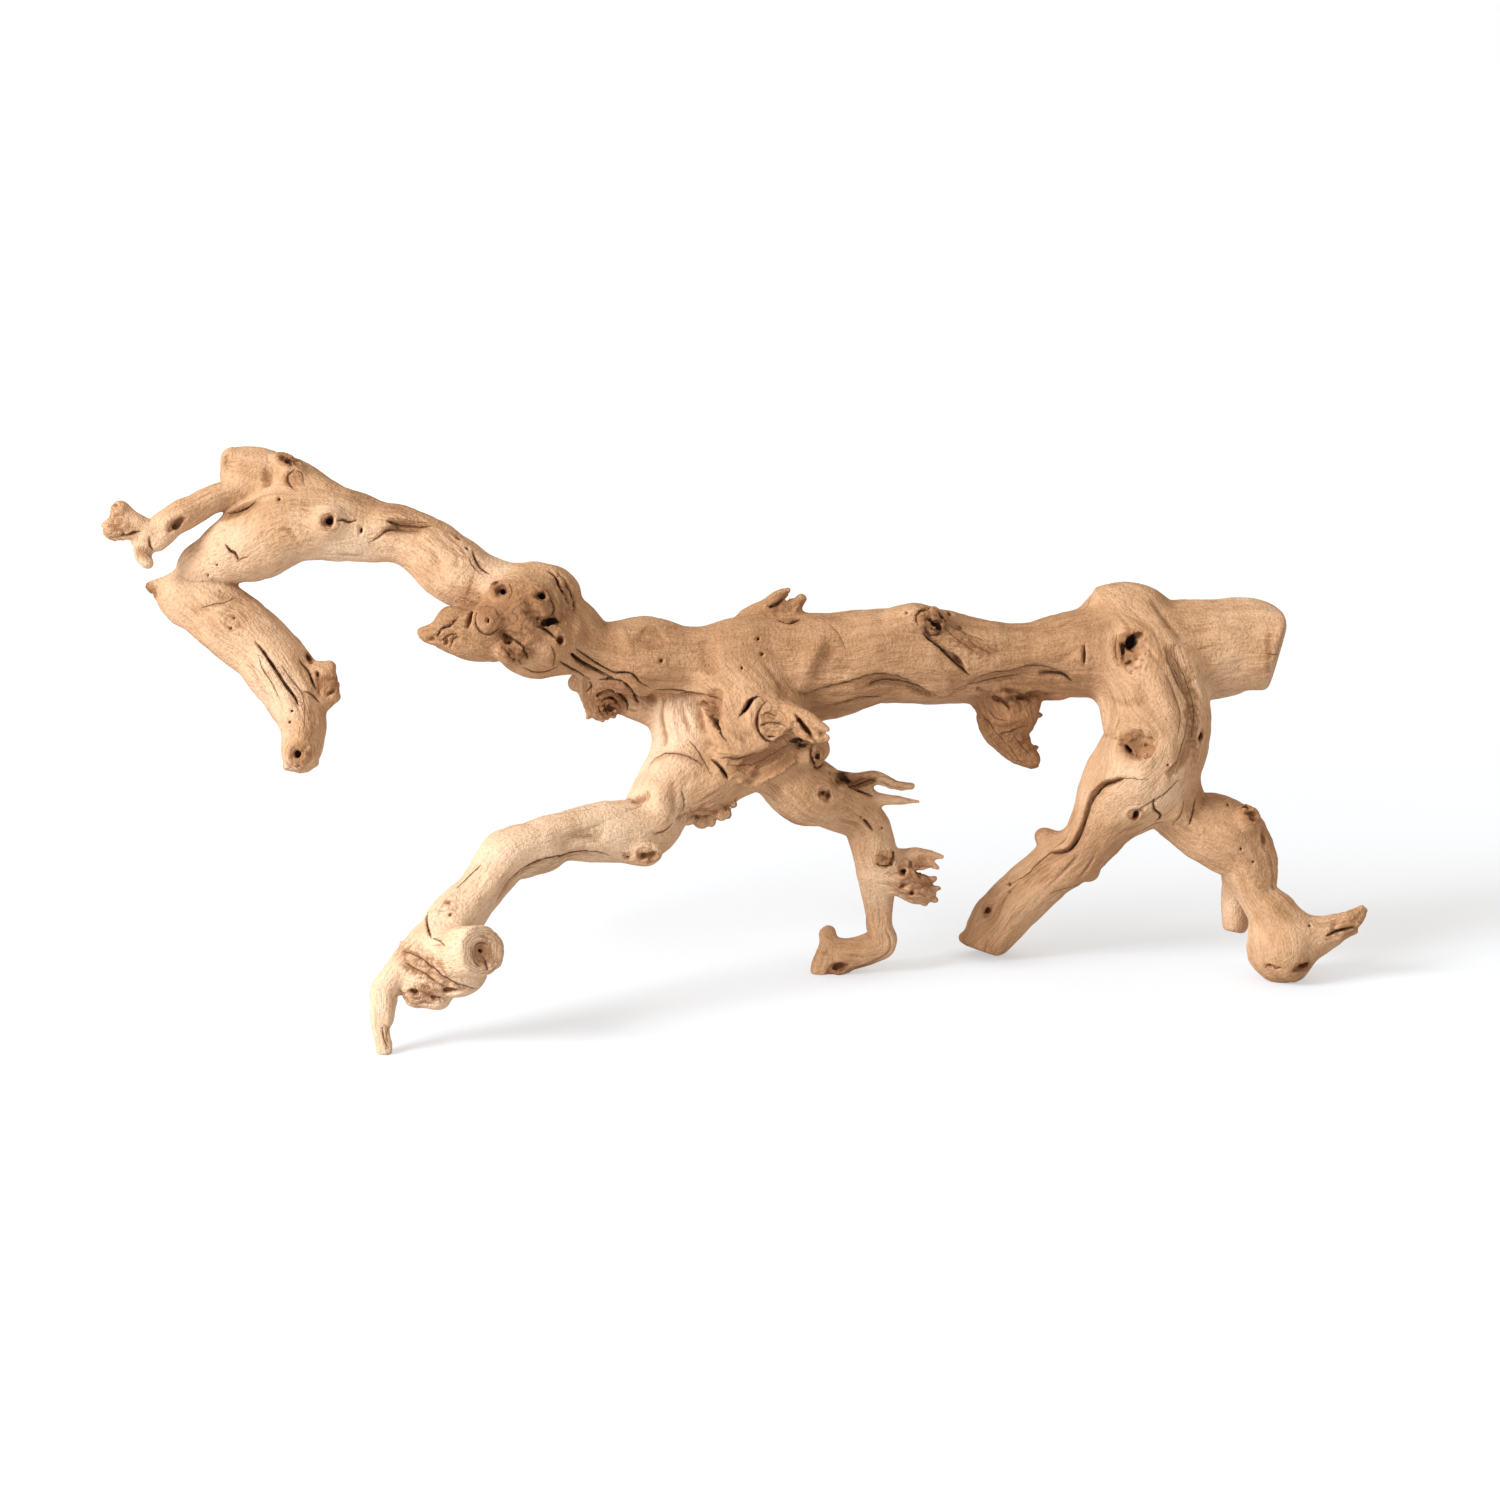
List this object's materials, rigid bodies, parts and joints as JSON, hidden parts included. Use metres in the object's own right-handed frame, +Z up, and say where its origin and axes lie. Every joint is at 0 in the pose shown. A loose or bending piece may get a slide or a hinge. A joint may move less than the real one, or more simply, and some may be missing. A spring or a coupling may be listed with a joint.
{
  "type": "driftwood branch",
  "caption": "Sandblasted grapevine wood: a knotty forked branch with a sawn trunk end, a raised bough and twig, and gnarled legs it stands on.",
  "frame": {"origin": "middle of the footprint's box, on the plane that the feet stand on", "axes": "+X along the trunk to its sawn end, +Y to the back, +Z up"},
  "size_m": [0.7417, 0.2386, 0.3211],
  "materials": {
    "weathered_wood": "pale peeled and sandblasted vine wood, matt, with fine grain along each limb and brown in its cracks and pits",
    "brown_wood": "torn, splintered wood, matt, redder and darker than the rest"
  },
  "bodies": {
    "root": {"trunk": "weathered_wood", "neck_bough": "weathered_wood", "head_twig": "weathered_wood", "drooping_bough": "weathered_wood", "front_leg": "weathered_wood", "middle_leg": "weathered_wood", "hind_bough": "weathered_wood", "hind_left_leg": "weathered_wood", "hind_right_leg": "weathered_wood", "hanging_stub": "brown_wood"}
  },
  "joints": []
}
